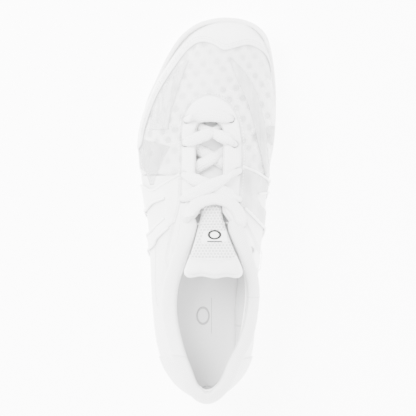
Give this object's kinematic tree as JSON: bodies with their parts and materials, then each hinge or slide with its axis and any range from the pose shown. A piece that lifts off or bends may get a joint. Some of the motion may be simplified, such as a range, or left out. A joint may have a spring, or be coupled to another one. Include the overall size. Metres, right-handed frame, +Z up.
{
  "type": "cheer shoe",
  "caption": "Low-cut white cheer shoe for the left foot, laced, with layered translucent upper, padded collar and tongue, and thin rubber sole.",
  "frame": {"origin": "centre of the shoe's footprint box, on the ground plane under the sole", "axes": "+Y towards the toe, +X towards the inner (medial) side, +Z up"},
  "size_m": [0.0931, 0.2559, 0.0816],
  "materials": {
    "rubber_white": "matte moulded rubber, off-white",
    "eva_white": "foamed EVA, matte white",
    "board_grey": "stitched fibre board, light grey",
    "insole_grey": "smooth brushed fabric, light grey",
    "lining_mesh": "knitted mesh lining, light grey",
    "foam_white": "open foam, white",
    "film_clear": "milky translucent film, satin",
    "synthetic_white": "smooth matte synthetic leather, white",
    "knit_white": "fine knitted fabric, white",
    "stiff_plastic": "moulded stiffener, off-white",
    "tongue_mesh": "honeycomb spacer mesh, white",
    "label_white": "woven label, white with a plain dark emblem",
    "lace_white": "flat braided cord, white",
    "aglet_clear": "clear acetate tip"
  },
  "bodies": {
    "root": {"outsole_forefoot": "rubber_white", "outsole_heel": "rubber_white", "toe_bumper": "rubber_white", "midsole": "eva_white", "midfoot_shank": "stiff_plastic", "strobel_board": "board_grey", "vamp_lining": "lining_mesh", "heel_lining": "lining_mesh", "quarter_lining_lateral": "lining_mesh", "quarter_lining_medial": "lining_mesh", "toe_puff": "stiff_plastic", "heel_counter": "stiff_plastic", "vamp_foam": "foam_white", "quarter_foam_lateral": "foam_white", "quarter_foam_medial": "foam_white", "vamp_film": "film_clear", "quarter_skin_lateral": "synthetic_white", "quarter_skin_medial": "synthetic_white", "toe_cap": "synthetic_white", "eyestay": "synthetic_white", "spear_overlay_medial": "film_clear", "spear_overlay_lateral": "film_clear", "midfoot_strap_lateral": "film_clear", "midfoot_strap_medial": "film_clear", "strap_piping_lateral": "synthetic_white", "strap_piping_medial": "synthetic_white", "heel_panel": "knit_white", "collar_cover_lateral": "knit_white", "collar_cover_medial": "knit_white", "collar_foam": "foam_white", "collar_lining": "lining_mesh", "tongue_lower": "tongue_mesh", "lace": "lace_white", "lace_aglets": "aglet_clear"},
    "tongue_top": {"tongue_pad": "foam_white", "tongue_mesh": "tongue_mesh", "tongue_binding": "knit_white", "tongue_label": "label_white"},
    "insole": {"insole_foam": "foam_white", "insole_cover": "insole_grey"}
  },
  "joints": [
    {"name": "tongue_fold", "type": "hinge", "parent": "root", "child": "tongue_top", "pos_m": [0.002, -0.0005, 0.064], "axis": [-1, 0, 0], "range_deg": [0, 55]},
    {"name": "insole_lift", "type": "hinge", "parent": "root", "child": "insole", "pos_m": [0.012, 0.116, 0.0203], "axis": [-1, 0, 0], "range_deg": [0, 2.5]}
  ]
}
